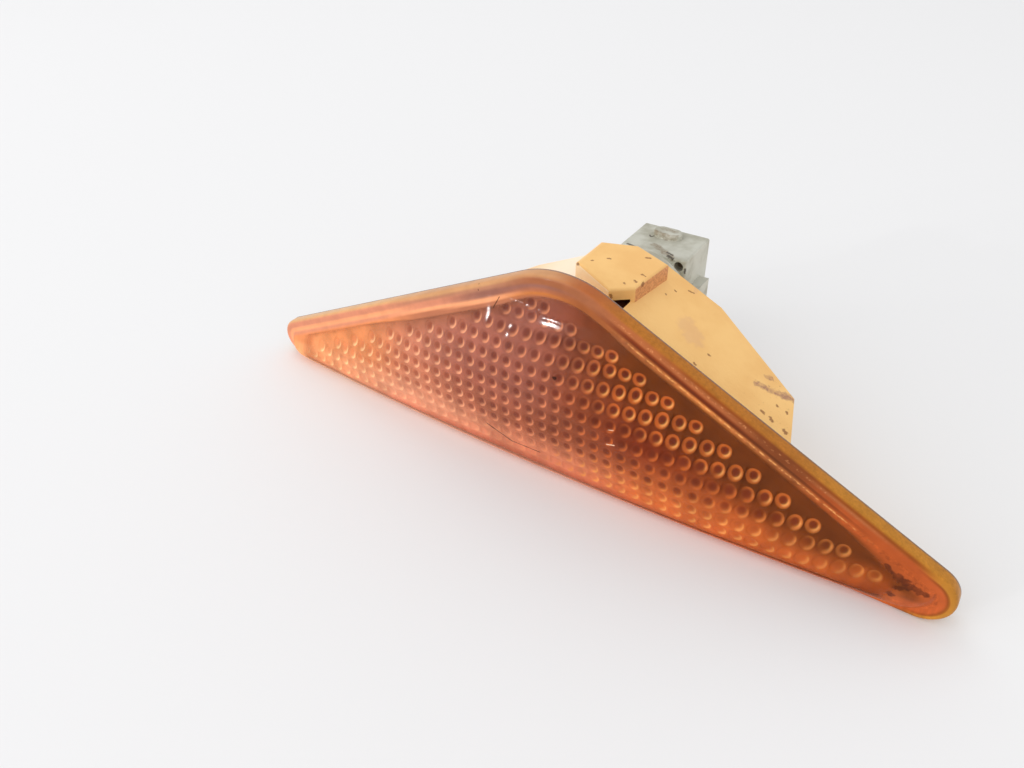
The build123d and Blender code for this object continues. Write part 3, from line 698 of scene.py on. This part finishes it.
def rubber_material():
    t = Tree("seal_black")
    t.put(t.bsdf, "Base_Color", t.blend(t.ramp(t.noise(0.6), 0.3, 0.7), srgb(38, 37, 36), srgb(58, 56, 54)))
    t.put(t.bsdf, "Roughness", 0.75)
    return t.material


def brass_material():
    t = Tree("contact_strip")
    t.put(t.bsdf, "Base_Color", t.blend(t.ramp(t.noise(0.8), 0.3, 0.7), srgb(204, 168, 92), srgb(176, 140, 74)))
    t.put(t.bsdf, "Metallic", 1.0)
    t.put(t.bsdf, "Roughness", 0.35)
    return t.material


def wire_material():
    t = Tree("drawn_wire")
    t.put(t.bsdf, "Base_Color", t.blend(t.noise(1.5), srgb(150, 150, 150), srgb(190, 190, 188)))
    t.put(t.bsdf, "Metallic", 1.0)
    t.put(t.bsdf, "Roughness", 0.3)
    return t.material


def glass_material():
    t = Tree("clear_bulb")
    t.put(t.bsdf, "Base_Color", srgb(246, 248, 248))
    t.put(t.bsdf, "Roughness", 0.03)
    t.put(t.bsdf, "Transmission_Weight", 1.0)
    t.put(t.bsdf, "IOR", 1.45)
    return t.material


def floor_material():
    t = Tree("pale_table")
    t.put(t.bsdf, "Base_Color", srgb(232, 232, 233))
    t.put(t.bsdf, "Roughness", 0.8)
    t.put(t.bsdf, "Specular_IOR_Level", LOW_SHINE)
    return t.material


# Lens in two pieces: the outside and the bumpy inner face
shell = new_object("lens_front", lens_shell())
shell.data.materials.append(lens_shell_material())
inside = new_object("lens_bumps", lens_inside())
inside.data.materials.append(lens_inside_material())
for piece in (shell, inside):
    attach(piece, "root")
    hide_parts("lens")

# Finishes of the pieces that keep their CAD shape
finishes = {
    "housing": case_material(),
    "bulb_holder": holder_material(),
    "holder_seal": rubber_material(),
    "bulb_glass": glass_material(),
}
brass = brass_material()
wire = wire_material()
for name in ("terminal_left", "terminal_right"):
    finishes[name] = brass
for name in ("lead_wire_left", "lead_wire_right", "filament"):
    finishes[name] = wire
for name, material in finishes.items():
    nodes[name].data.materials.clear()
    nodes[name].data.materials.append(material)

# Table
floor_mesh = bpy.data.meshes.new("table")
FLOOR_HALF = 1.5
corners = [(-FLOOR_HALF, -FLOOR_HALF, 0), (FLOOR_HALF, -FLOOR_HALF, 0), (FLOOR_HALF, FLOOR_HALF, 0),
           (-FLOOR_HALF, FLOOR_HALF, 0)]
floor_mesh.from_pydata(corners, [], [(0, 1, 2, 3)])
floor = new_object("table", floor_mesh)
floor.location.z = BASE_Z * MM
floor_mesh.materials.append(floor_material())

# Soft light, and small lamps that glint in the lens
world = bpy.data.worlds.new("studio")
scene.world = world
world.use_nodes = True
world.node_tree.nodes["Background"].inputs["Color"].default_value = (1, 1, 1, 1)
world.node_tree.nodes["Background"].inputs["Strength"].default_value = 0.92


def area_light(name, place, size, power):
    light = bpy.data.lights.new(name, "AREA")
    light.size = size
    light.energy = power
    lamp = new_object(name, light)
    lamp.location = place
    aim = Vector((0, 0, 0.015)) - Vector(place)
    lamp.rotation_euler = aim.to_track_quat("-Z", "Y").to_euler()
    return lamp


area_light("key", (-0.5, 0.35, 0.8), 0.5, 0.8)
area_light("fill", (-0.45, -0.9, 0.7), 1.0, 3.2)
GLINTS = [(-0.422, -0.866, 0.305), (-0.516, -0.861, 0.088), (-0.763, -0.659, 0.107), (-0.508, -0.858, 0.169)]
for number, place in enumerate(GLINTS):
    area_light(f"glint_{number + 1}", place, 0.02, 0.6)

# Camera where the photograph was taken from
right = Vector((0.82668, 0.56211, -0.02505))
down = Vector((0.32276, -0.51021, -0.79719))
forward = Vector((-0.46089, 0.65094, -0.60321))
camera_data = bpy.data.cameras.new("photo_camera")
camera_data.sensor_width = 36.0
camera_data.lens = 28.125
camera_data.clip_start = 0.005
camera = new_object("photo_camera", camera_data)
turn = Matrix((right, -down, -forward)).transposed().to_4x4()
camera.matrix_world = Matrix.Translation(Vector((53.3, -89.472, 76.36 + BULB_Z)) * MM) @ turn
scene.camera = camera
scene.view_settings.view_transform = "Standard"
